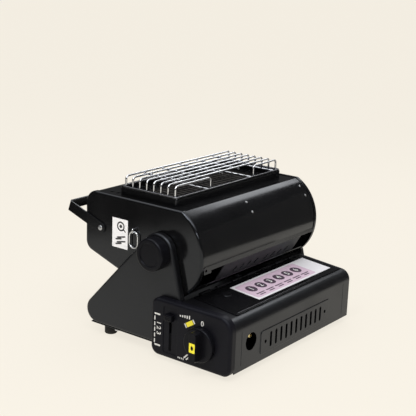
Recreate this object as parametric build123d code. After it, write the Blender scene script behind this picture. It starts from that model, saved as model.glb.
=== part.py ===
"""Tabletop gas heater stove: a cartridge base with a tilting burner head on two leg brackets.

X runs along the stove from the control panel end, Y from the front wall to the back, Z up from the table.
"""
from build123d import *
import math
import os

# Stock and fits
sheet = 1.2
leg_sheet = 1.5
cap_sheet = 1.0
running_fit = 0.05
seat_gap = 0.1
slide_gap = 0.4
label_thickness = 0.3

# Control panel, a moulded tray on the end of the base
panel_depth = 12.0
panel_overhang = 45.5
panel_height = 86.0
panel_lift = 6.0
panel_proud = 1.5
panel_wall = 2.4
panel_corner = 13.0
panel_nose = 22.0
panel_edge = 4.5
track_width = 25.0
track_depth = 0.8
track_margin = 8.0
track_corner = 3.0

# Base housing
base_length = 320.0
base_depth = 94.0
wall_lift = 9.0
wall_height = 83.0
top_slope = 5.0
front_round = 16.0
pan_height = 10.0
pan_flange = 14.0

# Vent panel and port in the front wall
vent_left = 74.0
vent_length = 185.0
vent_bottom = 18.0
vent_height = 36.0
vent_corner = 5.0
vent_depth = 1.0
vent_slots = 11
vent_slot_pitch = 13.4
vent_slot_width = 5.2
vent_slot_height = 23.0
vent_hole_radius = 2.7
port_x = 51.0
port_z = 46.5
port_radius = 13.0
crease_radius = 0.8
crease_sink = 0.4
crease_left_margin = 16.0
crease_right_margin = 19.0
crease_foot = 8.0

# Cartridge lid
mouth_left_margin = 26.0
mouth_right_margin = 10.0
mouth_front = 17.8
hinge_strip = 7.0
lid_overlap = 3.0
lid_gap = 0.3
lid_skirt = 4.0
lid_bead_radius = 1.3
lid_bead_length = 188.0
lid_dimple_x = 82.0
lid_dimple_v = 68.0
lid_dimple_radius = 8.0
lid_dimple_rise = 1.0
hinge_pin_radius = 1.2
knuckle_radius = 2.6
knuckle_length = 22.0
knuckle_count = 7
label_lead = 67.0
label_margin = 8.0

# Leg brackets and the deck between them
leg_stand_off = 18.0
leg_depth = 10.0
leg_top_radius = 28.0
leg_heel_reach = 136.5
leg_heel_radius = 20.0
leg_toe_overlap = 14.0
leg_toe_radius = 8.0
leg_edge = 4.0
leg_clearance = 1.0
leg_screw_front = 30.0
leg_screw_back = 50.0
deck_height = 17.0
deck_depth = 174.0
deck_lip = 16.0
foot_radius = 9.5
front_foot_inset = 24.0
rear_foot_inset = 18.0
front_foot_margin = 32.0
rear_foot_margin = 25.0
screw_radius = 2.0
screw_head_radius = 4.0
screw_head_height = 2.0
screw_tail = 3.0

# Gas controls
knob_setback = 2.0
knob_z = 44.0
knob_radius = 25.0
knob_base = 8.0
knob_edge = 2.0
knob_bar_width = 13.0
knob_bar_length = 44.0
knob_bar_height = 12.0
knob_bar_corner = 4.0
marker_width = 10.0
marker_length = 14.0
marker_hole_radius = 2.2
stem_radius = 4.0
stem_seat = 10.0
lever_setback = 10.0
lever_top = 74.0
lever_travel = 20.0
lever_width = 14.0
lever_height = 9.0
lever_reach = 7.0
lever_neck = 4.0
lever_edge = 1.5
lever_arm = 1.5
lever_arm_height = 4.0
guide_wall = 3.0
hook_margin = 14.0
hook_radius = 2.5
hook_head_radius = 5.0
hook_head = 1.5
hook_ratio = 0.2
hook_lead = 12.0
hook_plate = 2.0
hook_plate_half = 8.0
wedge_half_width = 7.0
valve_left = 50.0
valve_length = 42.0
valve_width = 32.0
valve_corner = 5.0
bracket_front = 28.0
bracket_rise = 26.0
bracket_foot = 8.0
cartridge_radius = 33.5
cartridge_lift = 2.4
collar_length = 8.0
collar_floor = 2.0
collar_radius = 17.0
nozzle_radius = 6.0
spigot_radius = 5.0
spigot_length = 16.0
spigot_setback = 10.0
spigot_rise = 7.0
spigot_rib = 0.8
spigot_rib_length = 1.5
spigot_rib_pitch = 4.0
igniter_radius = 7.0
igniter_length = 36.0
igniter_terminal = 6.0
saddle_width = 20.0
saddle_span = 36.0
saddle_height = 6.0
saddle_shares = (0.23, 0.77)

# Tilting head
head_gap = 2.0
drum_radius = 72.0
drum_clearance = 4.0
pivot_setback = 51.7
flat_share = 0.889
head_reach = 150.0
head_heel_drop = 14.0
head_heel_radius = 16.0
head_crown_radius = 20.0
cap_rim = 8.0
cap_edge = 4.0
cover_drop = 12.0
lip_width = 6.5
tab_length = 16.5
tab_width = 4.0
tab_hole_inset = 4.5
tab_hole_radius = 2.2
vent_plate_left_margin = 58.0
vent_plate_right_margin = 40.0
vent_plate_foot = 52.0
plate_slot_shares = (0.2, 0.6)
plate_slot_step = 0.09
plate_slot_level = 0.68
plate_slots_in_group = 4
plate_slot_length = 11.0
plate_slot_width = 4.5
plate_slot_lean = 30.0
plate_hole_inset = 20.0
plate_hole_length = 9.0
plate_hole_width = 4.5
plate_hole_pitch = 12.5
plate_hole_margin = 9.0

# Burner, its frame and the wire guard
frame_left_margin = 14.0
frame_right_margin = 24.0
frame_lead = 12.0
frame_depth = 105.5
frame_height = 11.5
frame_sheet = 1.5
frame_corner = 3.0
frame_flange = 8.0
guard_wire = 1.5
guard_rise = 15.5
guard_rows = 8
guard_bend = 5.0
guard_corner = 4.0
guard_end_inset = 3.5
guard_row_inset = 5.0
front_loop_left = 82.0
front_loop_right = 62.0
cross_wires = 5
burner_depth = 28.0
burner_flange = 6.0
burner_corner = 4.0
tile_thickness = 12.0
tile_split = 9.0
gasket_thickness = 1.0
gasket_rim = 6.0
shelf_margin = 4.0
screen_sheet = 0.8
screen_rim = 6.0
screen_slots = 22
screen_rows = 3
screen_bar = 3.0
screen_slot_corner = 1.5
tube_radius = 11.0
tube_length = 100.0
tube_drop = 4.0
port_tube_radius = 8.0
port_flange = 5.0
injector_radius = 3.0
injector_tail = 14.0
injector_nose = 12.0
injector_disc = 5.0
injector_bore = 0.8
electrode_radius = 1.0
electrode_setback = 18.0
electrode_tail = 22.0
electrode_tip = 3.0
insulator_radius = 3.2
insulator_tail = 14.0
insulator_collar = 3.0

# Pivot, tilt knobs, handle, ring and cap label
pivot_radius = 4.0
pivot_head_radius = 8.0
pivot_head_height = 3.0
spacer_radius = 12.0
tilt_knob_radius = 24.0
tilt_knob_height = 18.0
tilt_knob_edge = 3.0
tilt_knob_dish = 1.5
handle_setback = 117.5
handle_rise = 11.0
handle_reach = 70.0
handle_width = 16.0
handle_sheet = 2.0
handle_rest = 19.0
handle_bend = 4.0
ring_setback = 51.5
ring_rise = 19.5
ring_width = 18.0
ring_height = 27.0
ring_wire = 1.1
eye_wire = 0.9
eye_height = 6.2
eye_reach = 6.0
eye_bend = 1.5
cap_label_setback = 65.5
cap_label_drop = 13.0
cap_label_width = 30.0
cap_label_height = 44.5

# Cover rivets: share of the head's length and angle above the front horizon
rivet_radius = 1.9
rivet_shank = 1.1
rivet_head = 1.0
rivet_edge = 0.7
rivet_shares = (0.457, 0.457, 0.94, 0.94)
rivet_angles = (50.0, 36.0, 49.0, 35.0)

# The sloping top of the base: v runs back along it, w stands off it
slope = math.radians(top_slope)
top_plane = Plane(origin=(0, 0, wall_height), x_dir=(1, 0, 0), z_dir=(0, -math.sin(slope), math.cos(slope)))
mouth_left = panel_depth + mouth_left_margin
mouth_right = base_length - mouth_right_margin
mouth_back = base_depth - hinge_strip
pin_v = mouth_back + lid_overlap + slide_gap
pin_w = lid_gap + knuckle_radius
pin_y = pin_v * math.cos(slope) - pin_w * math.sin(slope)
pin_z = wall_height + pin_v * math.sin(slope) + pin_w * math.cos(slope)

# The drum stands just clear of the lid's hinge, and the head ends just inside the legs
drum_reach = drum_radius + knuckle_radius + drum_clearance
pivot_y = pin_y + pivot_setback
pivot_z = pin_z + math.sqrt(drum_reach ** 2 - pivot_setback ** 2)
flat_height = flat_share * drum_radius
flat_z = pivot_z + flat_height
leg_left = panel_depth
leg_right = base_length + leg_stand_off
head_left = leg_left + leg_depth + head_gap
head_right = leg_right - leg_depth - head_gap
head_back = pivot_y + head_reach
drum_skin = cap_sheet + running_fit
plate_top = flat_z - drum_skin

# Places of the smaller pieces
panel_back = base_depth + panel_overhang
left_wall = leg_left + leg_depth + leg_clearance
deck_back = base_depth + deck_depth
front_foot_y = base_depth - front_foot_margin
rear_foot_y = deck_back - rear_foot_margin
pan_floor = pan_height + sheet
knob_y = base_depth / 2 + knob_setback
lever_y = base_depth + lever_setback
hook_y = base_depth - hook_margin
hook_end = valve_left + valve_length + collar_length + hook_lead
cartridge_y = (mouth_front + mouth_back) / 2 * math.cos(slope)
cartridge_z = pan_floor + cartridge_radius + cartridge_lift
frame_left = head_left + frame_left_margin
frame_right = head_right - frame_right_margin
frame_front = pivot_y - frame_lead
frame_back = frame_front + frame_depth
mouth_inset = frame_flange + frame_sheet
burner_left = frame_left + mouth_inset
burner_right = frame_right - mouth_inset
burner_front = frame_front + mouth_inset
burner_back = frame_back - mouth_inset
burner_top = plate_top - sheet
burner_floor = burner_top - burner_depth
tile_low = burner_top - tile_thickness
tube_x = burner_left + tube_length
tube_y = (burner_front + burner_back) / 2
tube_z = burner_floor - tube_radius - tube_drop
electrode_x = (burner_left + burner_right) / 2
electrode_y = burner_front + electrode_setback
handle_y = pivot_y + handle_setback
handle_z = pivot_z + handle_rise
ring_y = pivot_y + ring_setback
ring_x = head_left - eye_reach / 2
ring_z = pivot_z + ring_rise - ring_wire


def block(x0, x1, y0, y1, z0, z1):
    """Box between two corners."""
    return Pos((x0 + x1) / 2, (y0 + y1) / 2, (z0 + z1) / 2) * Box(x1 - x0, y1 - y0, z1 - z0)


def bar_x(y, z, radius, x0, x1):
    """Round bar along X."""
    return Pos((x0 + x1) / 2, y, z) * Rot(0, 90, 0) * Cylinder(radius, x1 - x0)


def bar_y(x, z, radius, y0, y1):
    """Round bar along Y."""
    return Pos(x, (y0 + y1) / 2, z) * Rot(90, 0, 0) * Cylinder(radius, y1 - y0)


def bar_z(x, y, radius, z0, z1):
    """Round bar along Z."""
    return Pos(x, y, (z0 + z1) / 2) * Cylinder(radius, z1 - z0)


def slab_x(outline, x0, x1):
    """Outline drawn in Y and Z, extruded from x0 to x1."""
    return extrude(Plane.YZ.offset(x0) * outline, amount=x1 - x0)


def top_block(x0, x1, v0, v1, w0, w1):
    """Box on the sloping top of the base."""
    return top_plane.location * block(x0, x1, v0, v1, w0, w1)


def hull_of(circles, inset):
    """Outline pulled tight round circles of (y, z, radius), moved in by the inset."""
    return make_hull([(Pos(y, z) * Circle(r - inset)).edge() for y, z, r in circles])


def pressed_tray(outline, x_face, x_rim, wall, edge):
    """Pressed sheet tray: a flat face at x_face with a rounded edge and a rim that ends at x_rim."""
    outer = slab_x(outline(0), x_face, x_rim)
    outer = fillet(outer.faces().sort_by(Axis.X)[0].edges(), edge)
    inner = slab_x(outline(wall), x_face + wall, x_rim + wall)
    inner = fillet(inner.faces().sort_by(Axis.X)[0].edges(), edge - wall)
    return outer - inner


def mirrored(shape):
    """The same piece at the other end of the head."""
    return mirror(shape, about=Plane.YZ.offset((head_left + head_right) / 2))


def base_profile(inset):
    """Section of the base housing: front wall, rounded front and sloping top."""
    back_top = wall_height + base_depth * math.tan(slope)
    points = [(0, wall_lift), (base_depth, wall_lift), (base_depth, back_top), (0, wall_height)]
    outline = Polygon(*points, align=None)
    corner = outline.vertices().sort_by(Axis.Y)[-2:].sort_by(Axis.X)[0]
    return Pos(inset, -inset) * fillet(corner, front_round)


def knuckle_spans(parity):
    """Lengths of the hinge knuckles: even ones belong to the lid, odd ones to the housing."""
    spacing = (mouth_right - mouth_left - 2 * knuckle_length) / (knuckle_count - 1)
    starts = [mouth_left + knuckle_length / 2 + index * spacing for index in range(parity, knuckle_count, 2)]
    return [(start, start + knuckle_length) for start in starts]


def make_front_shell():
    """Pressed housing with two end walls, the lid mouth, the vent panel, the port and hinge knuckles."""
    shell = slab_x(base_profile(0), leg_left, base_length)
    shell -= slab_x(base_profile(sheet), left_wall + sheet, base_length - sheet)
    shell -= slab_x(base_profile(sheet), leg_left - sheet, left_wall)
    shell -= top_block(mouth_left, mouth_right, mouth_front, mouth_back, -3 * sheet, 2 * sheet)
    shell = cut_vents(shell)
    wall_back = left_wall + 2 * sheet
    shell -= bar_x(knob_y, knob_z, stem_radius + slide_gap, leg_left, wall_back)
    shell -= bar_x(hook_y, hook_z(), hook_radius + slide_gap, leg_left, wall_back)
    for x0, x1 in knuckle_spans(1):
        shell += top_block(x0, x1, pin_v, base_depth - seat_gap, -sheet / 2, knuckle_radius)
        shell += top_plane.location * bar_x(pin_v, pin_w, knuckle_radius, x0, x1)
    return shell - top_plane.location * bar_x(
        pin_v, pin_w, hinge_pin_radius + running_fit, mouth_left, mouth_right
    )


def cut_vents(shell):
    """Press the vent panel out of the front wall and two creases in, and cut the slots, holes and port."""
    middle = vent_left + vent_length / 2
    level = vent_bottom + vent_height / 2
    front = Plane.XZ
    outer = Pos(middle, level) * RectangleRounded(vent_length, vent_height, vent_corner)
    inner_size = vent_length - 2 * sheet, vent_height - 2 * sheet
    inner = Pos(middle, level) * RectangleRounded(*inner_size, vent_corner - sheet)
    panel = extrude(front * outer, amount=vent_depth)
    shell += chamfer(panel.faces().sort_by(Axis.Y)[0].edges(), 0.9 * vent_depth)
    shell -= extrude(front.offset(-sheet) * inner, amount=vent_depth)
    through = sheet + vent_depth
    for index in range(vent_slots):
        x = middle + (index - (vent_slots - 1) / 2) * vent_slot_pitch
        slot = Pos(x, level) * SlotOverall(vent_slot_height, vent_slot_width, rotation=90)
        shell -= extrude(front.offset(-through) * slot, amount=2 * through)
    reach = (vent_slots + 1) / 2 * vent_slot_pitch
    for x in (middle - reach, middle + reach):
        shell -= bar_y(x, level, vent_hole_radius, -through, through)
    for x in (leg_left + crease_left_margin, base_length - crease_right_margin):
        depth = crease_sink - crease_radius
        shell -= bar_z(x, depth, crease_radius, wall_lift + crease_foot, wall_height - front_round)
    return shell - bar_y(port_x, port_z, port_radius, -sheet, through)


def make_lid():
    """Lid plate over the mouth, with a raised bead, a dimple, a front skirt and its hinge knuckles."""
    left, right = mouth_left - lid_overlap, mouth_right + lid_overlap
    front, top = mouth_front - lid_overlap, lid_gap + sheet
    lid = block(left, right, front, pin_v - slide_gap, lid_gap, top)
    bead_left = left + lid_overlap
    lid += bar_x(front + 2 * lid_bead_radius, top, lid_bead_radius, bead_left, bead_left + lid_bead_length)
    dimple = bar_z(lid_dimple_x, lid_dimple_v, lid_dimple_radius, top, top + lid_dimple_rise)
    lid += fillet(dimple.edges().sort_by(Axis.Z)[-1:], 0.8 * lid_dimple_rise)
    skirt = 2 * lid_overlap
    skirt_front = mouth_front + sheet
    lid += block(left + skirt, right - skirt, skirt_front, skirt_front + sheet, lid_gap - lid_skirt, lid_gap)
    for x0, x1 in knuckle_spans(1):
        notch = pin_v - knuckle_radius - slide_gap
        lid -= block(x0 - slide_gap, x1 + slide_gap, notch, pin_v, 0, 3 * knuckle_radius)
    for x0, x1 in knuckle_spans(0):
        lid += bar_x(pin_v, pin_w, knuckle_radius, x0, x1)
        lid += block(x0, x1, pin_v - knuckle_radius, pin_v, lid_gap, top)
    return top_plane.location * (lid - bar_x(pin_v, pin_w, hinge_pin_radius + running_fit, left, right))


def make_lid_label():
    """Printed sticker on the lid."""
    low = lid_gap + sheet
    left, right = mouth_left + label_lead, mouth_right - label_margin
    front, back = mouth_front + label_margin, mouth_back - label_margin
    return top_block(left, right, front, back, low, low + label_thickness)


def make_hinge_pin():
    """Straight wire through all the lid knuckles."""
    spans = knuckle_spans(0)
    return top_plane.location * bar_x(pin_v, pin_w, hinge_pin_radius, spans[0][0], spans[-1][1])


def make_base_pan():
    """Floor of the cartridge bay with a rear wall and two turned-up ends."""
    left, right = left_wall + sheet + seat_gap, base_length - sheet - seat_gap
    front, back = sheet + seat_gap, base_depth
    wall_top = wall_height + (back - sheet) * math.tan(slope) - 1.2 * sheet
    pan = block(left, right, front, back, pan_height, pan_floor)
    pan += block(left, right, back - sheet, back, pan_height, wall_top)
    pan += block(left, left + sheet, front, back, pan_height, pan_height + pan_flange)
    pan += block(right - sheet, right, front, back, pan_height, pan_height + pan_flange)
    for x in front_feet_x():
        pan -= bar_z(x, front_foot_y, screw_radius + running_fit, 0, 2 * pan_height)
    return pan


def leg_outline(inset):
    """Leg plate: round top on the pivot, round heel behind and a small toe in front."""
    heel_y = pivot_y + leg_heel_reach - leg_heel_radius
    toe_y = base_depth - leg_toe_overlap + leg_toe_radius
    top = (pivot_y, pivot_z, leg_top_radius)
    heel = (heel_y, deck_height + leg_heel_radius, leg_heel_radius)
    toe = (toe_y, deck_height + leg_toe_radius, leg_toe_radius)
    return hull_of([top, heel, toe], inset)


def leg_screw_places():
    """Screws that hold each leg's bottom edge to the deck, as (x, y)."""
    xs = (leg_left + leg_depth / 2, leg_right - leg_depth / 2)
    ys = (base_depth + leg_screw_front, deck_back - leg_screw_back)
    return [(x, y) for x in xs for y in ys]


def make_left_leg():
    """Pressed leg with a turned-in edge all round and a hole for the pivot bolt."""
    leg = pressed_tray(leg_outline, leg_left, leg_left + leg_depth, leg_sheet, leg_edge)
    leg -= bar_x(pivot_y, pivot_z, pivot_radius + running_fit, leg_left - sheet, leg_left + leg_depth)
    for x, y in leg_screw_places()[:2]:
        leg -= bar_z(x, y, screw_radius + running_fit, 0, 2 * deck_height)
    return leg


def make_rear_deck():
    """Folded plate under the legs, with a lip against the pan and another at the back."""
    low, lip = deck_height - sheet, deck_height + deck_lip
    deck = block(leg_left + leg_sheet, leg_right - leg_sheet, base_depth, deck_back, low, deck_height)
    inner_left, inner_right = left_wall, leg_right - leg_depth - leg_clearance
    deck += block(inner_left, inner_right, base_depth, base_depth + sheet, low, lip)
    deck += block(inner_left, inner_right, deck_back - sheet, deck_back, low, lip)
    holes = leg_screw_places() + [(x, rear_foot_y) for x in rear_feet_x()]
    for x, y in holes:
        deck -= bar_z(x, y, screw_radius + running_fit, 0, 2 * deck_height)
    return deck


def front_feet_x():
    """Places of the front feet, in from the ends of the base."""
    return (leg_left + front_foot_inset, base_length - front_foot_inset)


def rear_feet_x():
    """Places of the rear feet, in from the legs."""
    return (leg_left + rear_foot_inset, leg_right - rear_foot_inset)


def make_foot(x, y, height):
    """Rubber foot with a chamfered sole and a counterbored screw hole."""
    foot = chamfer(bar_z(x, y, foot_radius, 0, height).edges().sort_by(Axis.Z)[:1], foot_radius / 10)
    foot -= bar_z(x, y, screw_radius + running_fit, 0, height)
    return foot - bar_z(x, y, screw_head_radius + slide_gap, 0, height / 2)


def make_foot_screw(x, y, height):
    """Pan-head screw up through a foot and the sheet above it."""
    screw = bar_z(x, y, screw_radius, height / 2, height + sheet + screw_tail)
    return screw + bar_z(x, y, screw_head_radius, height / 2 - screw_head_height, height / 2)


def make_leg_screws():
    """Four screws up through the deck into the legs' bottom edges."""
    low = deck_height - sheet
    screws = []
    for x, y in leg_screw_places():
        screw = bar_z(x, y, screw_radius, low, deck_height + leg_sheet + screw_tail)
        screws.append(screw + bar_z(x, y, screw_head_radius, low - screw_head_height, low))
    return screws


def panel_outline(inset):
    """Panel face: a rectangle with a larger round at its upper front corner."""
    front, back = -panel_proud + inset, panel_back - inset
    low, high = panel_lift + inset, panel_lift + panel_height - inset
    outline = Polygon((front, low), (back, low), (back, high), (front, high), align=None)
    nose = outline.vertices().sort_by(Axis.X)[:2].sort_by(Axis.Y)[-1]
    outline = fillet(nose, panel_nose - inset)
    rear = [v for v in outline.vertices() if v.X > back - sheet]
    toe = outline.vertices().sort_by(Axis.X)[:2].sort_by(Axis.Y)[:1]
    return fillet(rear + list(toe), panel_corner - inset)


def make_control_panel():
    """Moulded tray with the stem hole and the lever's sunk track and slot, closed by the leg behind it."""
    panel = slab_x(panel_outline(0), 0, panel_depth)
    panel = fillet(panel.faces().sort_by(Axis.X)[0].edges(), panel_edge)
    panel -= slab_x(panel_outline(panel_wall), panel_wall, 2 * panel_depth)
    panel -= bar_x(knob_y, knob_z, stem_radius + slide_gap, -sheet, panel_depth)
    track = RectangleRounded(track_width, panel_height - 2 * track_margin, track_corner)
    track = Pos(lever_y, panel_lift + panel_height / 2) * track
    panel -= extrude(Plane.YZ * track, amount=track_depth)
    slot_low = lever_mid() - lever_height / 2 - lever_travel
    half = lever_neck / 2 + slide_gap
    groove_low = panel_lift + 1.5 * track_margin
    panel -= block(-sheet, 2 * track_depth, lever_y - half, lever_y + half, groove_low, lever_top)
    return panel - block(-sheet, panel_wall + sheet, lever_y - half, lever_y + half, slot_low, lever_top)


def lever_mid():
    """Height of the lever's middle at rest, at the top of its slot."""
    return lever_top - lever_height / 2 - slide_gap


def arm_levels():
    """Bottom and top of the lever's side arm at rest, just under the panel's top wall."""
    high = panel_lift + panel_height - panel_wall - 4 * slide_gap
    return high - lever_arm_height, high


def hook_z():
    """Height of the draw hook's rod: its head clears the lever's arm at the end of the travel."""
    return arm_levels()[0] - lever_travel - hook_head_radius - 2 * slide_gap


def hook_back():
    """Back face of the draw hook's head at rest."""
    return panel_depth - 2 * hook_head


def make_lever_guide():
    """Two rails behind the panel face, tied across the back, that keep the lever's slide upright."""
    reach = lever_width / 2 + slide_gap
    low = lever_mid() - lever_height - lever_travel - slide_gap
    short, tall = arm_levels()[0] - lever_travel - slide_gap, arm_levels()[0]
    back = panel_depth - seat_gap
    guide = block(panel_wall, back, lever_y - reach - guide_wall, lever_y - reach, low, short)
    guide += block(panel_wall, back, lever_y + reach, lever_y + reach + guide_wall, low, tall)
    return guide + block(back - sheet, back, lever_y - reach, lever_y + reach, low, short)


def make_lever():
    """Finger tab, a neck through the slot, a slide behind the panel and an arm with a forked wedge."""
    mid = lever_mid()
    half, rise = lever_width / 2, lever_height / 2
    lever = block(-lever_reach, -slide_gap, lever_y - half, lever_y + half, mid - rise, mid + rise)
    lever = fillet(lever.faces().sort_by(Axis.X)[0].edges(), lever_edge)
    inner = panel_wall + slide_gap
    neck, neck_rise = lever_neck / 2, rise - slide_gap
    lever += block(-slide_gap, inner, lever_y - neck, lever_y + neck, mid - neck_rise, mid + neck_rise)
    arm_low, arm_high = arm_levels()
    lever += block(inner, inner + lever_arm, lever_y - half, lever_y + half, mid - lever_height, arm_high)
    front, back = hook_y - wedge_half_width, hook_y + wedge_half_width
    lever += block(inner, inner + lever_arm, front, lever_y, arm_low, arm_high)
    tail = panel_depth - slide_gap
    lever += block(inner, tail, front, back, arm_low, arm_high)
    low = hook_z() - hook_head_radius
    face_low = hook_back() + slide_gap + 2 * hook_ratio * hook_head_radius
    face_high = face_low - hook_ratio * (arm_low - low)
    wedge = Polygon((face_low, low), (tail, low), (tail, arm_low), (face_high, arm_low), align=None)
    lever += extrude(Plane.XZ.offset(-back) * wedge, amount=back - front)
    gap = hook_radius + slide_gap
    return lever - block(inner, panel_depth, hook_y - gap, hook_y + gap, 0, hook_z() + lever_travel + gap)


def marker_block(face, depth):
    """Box in the middle of the grip bar's face."""
    half_w, half_l = marker_width / 2, marker_length / 2
    return block(face, face + depth, knob_y - half_w, knob_y + half_w, knob_z - half_l, knob_z + half_l)


def make_gas_knob():
    """Round knob with a raised grip bar, a marker recess and a blind bore for the stem."""
    knob = bar_x(knob_y, knob_z, knob_radius, -knob_base, -slide_gap)
    knob = fillet(knob.faces().sort_by(Axis.X)[0].edges(), knob_edge)
    grip = Pos(knob_y, knob_z) * RectangleRounded(knob_bar_width, knob_bar_length, knob_bar_corner)
    knob += extrude(Plane.YZ.offset(-knob_base) * grip, amount=-knob_bar_height, taper=4)
    knob -= marker_block(-knob_base - knob_bar_height, label_thickness)
    return knob - bar_x(knob_y, knob_z, stem_radius, -knob_base - knob_bar_height / 2, 0)


def make_knob_marker():
    """Coloured insert in the grip bar, with a round hole."""
    face = -knob_base - knob_bar_height
    hole = bar_x(knob_y, knob_z, marker_hole_radius, face - sheet, face + sheet)
    return marker_block(face, label_thickness) - hole


def make_valve_stem():
    """Stem from the knob's bore to the valve."""
    return bar_x(knob_y, knob_z, stem_radius, -knob_base - knob_bar_height / 2, valve_left + stem_seat)


def make_valve_bracket():
    """Angle plate on the pan floor that carries the valve, the igniter and the draw hook."""
    x0, x1 = valve_left - sheet, valve_left
    front, back = knob_y - bracket_front, hook_y + bracket_foot
    plate = block(x0, x1, front, back, pan_floor, knob_z + bracket_rise)
    plate += block(x0 - bracket_foot, x1, front, back, pan_floor, pan_floor + sheet)
    plate -= bar_x(knob_y, knob_z, stem_radius + slide_gap, x0 - sheet, x1 + sheet)
    return plate - bar_x(hook_y, hook_z(), hook_radius + running_fit, x0 - sheet, x1 + sheet)


def spigot_place():
    """Axis of the gas outlet, as (x, z), and the valve side that it stands on."""
    return valve_left + spigot_setback, knob_z + spigot_rise, knob_y - valve_width / 2


def make_valve_body():
    """Die-cast valve block with a bore for the stem and a gas way to the outlet."""
    half = valve_width / 2
    x1 = valve_left + valve_length
    body = block(valve_left, x1, knob_y - half, knob_y + half, knob_z - half, knob_z + half)
    body = fillet(body.edges().filter_by(Axis.X), valve_corner)
    body -= bar_x(knob_y, knob_z, stem_radius + running_fit, valve_left, valve_left + stem_seat + sheet)
    x, z, side = spigot_place()
    return body - bar_y(x, z, spigot_radius / 2, side, knob_y - stem_radius - sheet)


def make_collar():
    """Round socket that the cartridge's nozzle is drawn into."""
    x0 = valve_left + valve_length
    collar = bar_x(cartridge_y, cartridge_z, collar_radius, x0, x0 + collar_length)
    return collar - bar_x(cartridge_y, cartridge_z, nozzle_radius, x0 + collar_floor, x0 + 2 * collar_length)


def make_spigot():
    """Ribbed outlet on the valve's front side, seen through the port."""
    x, z, side = spigot_place()
    spigot = bar_y(x, z, spigot_radius, side - spigot_length, side)
    spigot += bar_y(x, z, spigot_radius + 2 * spigot_rib, side - 2 * spigot_rib_length, side)
    for index in range(3):
        rib = side - spigot_length + index * spigot_rib_pitch
        spigot += bar_y(x, z, spigot_radius + spigot_rib, rib, rib + spigot_rib_length)
    return spigot - bar_y(x, z, spigot_radius / 2, side - 2 * spigot_length, side)


def make_igniter():
    """Spark igniter barrel on the valve bracket, with a lead terminal."""
    y = knob_y - valve_width / 2
    z = knob_z - valve_width / 2 - igniter_radius - slide_gap
    end = valve_left + igniter_length
    barrel = bar_x(y, z, igniter_radius, valve_left, end)
    return barrel + bar_x(y, z, igniter_radius / 3, end, end + igniter_terminal)


def make_saddles():
    """Two cradles on the pan floor under the cartridge."""
    half = saddle_span / 2
    bay = base_length - sheet - hook_end
    saddles = []
    for share in saddle_shares:
        x = hook_end + share * bay - saddle_width / 2
        end = x + saddle_width
        saddle = block(x, end, cartridge_y - half, cartridge_y + half, pan_floor, pan_floor + saddle_height)
        cradle = bar_x(cartridge_y, cartridge_z, cartridge_radius + slide_gap, x - sheet, end + sheet)
        saddles.append(saddle - cradle)
    return saddles


def make_draw_hook():
    """Headed rod through the valve bracket, with a plate that draws the cartridge into the collar."""
    z = hook_z()
    half = hook_plate_half
    hook = bar_x(hook_y, z, hook_radius, hook_back(), hook_end)
    hook += bar_x(hook_y, z, hook_head_radius, hook_back() - hook_head, hook_back())
    inner = cartridge_y + 2 * nozzle_radius
    return hook + block(hook_end - hook_plate, hook_end, inner, hook_y + hook_radius, z - half, z + half)


def head_outline(inset):
    """Side of the head: drum in front, tangent to a rounded heel and crown behind, cut flat on top."""
    heel = (head_back - head_heel_radius, pivot_z - head_heel_drop, head_heel_radius)
    crown = (head_back - head_crown_radius, flat_z - head_crown_radius, head_crown_radius)
    outline = hull_of([(pivot_y, pivot_z, drum_radius), heel, crown], inset)
    reach = 2 * head_back
    return outline - Pos(pivot_y, flat_z - inset + reach / 2) * Rectangle(2 * reach, reach)


def make_left_cap():
    """Pressed end cap with its pivot and handle holes."""
    cap = pressed_tray(head_outline, head_left, head_left + cap_rim, cap_sheet, cap_edge)
    cap -= bar_x(pivot_y, pivot_z, pivot_radius, head_left - cap_sheet, head_left + cap_rim)
    return cap - bar_x(handle_y, handle_z, screw_radius, head_left - cap_sheet, head_left + cap_rim)


def skin_ring():
    """Closed strip of sheet just inside the caps' rims, as a face in Y and Z."""
    return head_outline(drum_skin) - head_outline(drum_skin + sheet)


def skin_span():
    """Ends of the head's skins, clear of the caps' rounded edges."""
    return head_left + cap_edge + running_fit, head_right - cap_edge - running_fit


def kink_y():
    """Where the flat top meets the drum."""
    return pivot_y - math.sqrt((drum_radius - drum_skin) ** 2 - (flat_height - drum_skin) ** 2)


def zone(y0, y1, z0, z1):
    """Rectangle in Y and Z, used to part the skin."""
    return Pos((y0 + y1) / 2, (z0 + z1) / 2) * Rectangle(y1 - y0, z1 - z0)


def cover_foot():
    """Lower edge of the drum cover on the skin's outside."""
    return pivot_y - math.sqrt((drum_radius - drum_skin) ** 2 - cover_drop ** 2), pivot_z - cover_drop


def lip_span():
    """Ends of the cover's lip, clear of the caps' rims."""
    return head_left + cap_rim + running_fit, head_right - cap_rim - running_fit


def lip_outline(width):
    """Section of the cover's lip, turned straight down from the cover's lower edge."""
    foot_y, foot_z = cover_foot()
    return zone(foot_y, foot_y + sheet, foot_z - width, foot_z)


def make_drum_cover():
    """Curved front cover with its lip turned down at the foot and a holed tab at the near end."""
    cover = slab_x(skin_ring() & zone(0, kink_y(), pivot_z - cover_drop, 2 * flat_z), *skin_span())
    x0, x1 = lip_span()
    cover += slab_x(lip_outline(lip_width), x0, x1)
    cover += slab_x(lip_outline(lip_width + tab_width), x0, x0 + tab_length)
    foot_y, foot_z = cover_foot()
    hole_z = foot_z - (lip_width + tab_width) / 2
    cover -= bar_y(x0 + tab_hole_inset, hole_z, tab_hole_radius, foot_y - sheet, foot_y + 2 * sheet)
    return cover - [place * Cylinder(rivet_shank + running_fit, 4 * sheet) for place in rivet_frames()]


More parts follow.
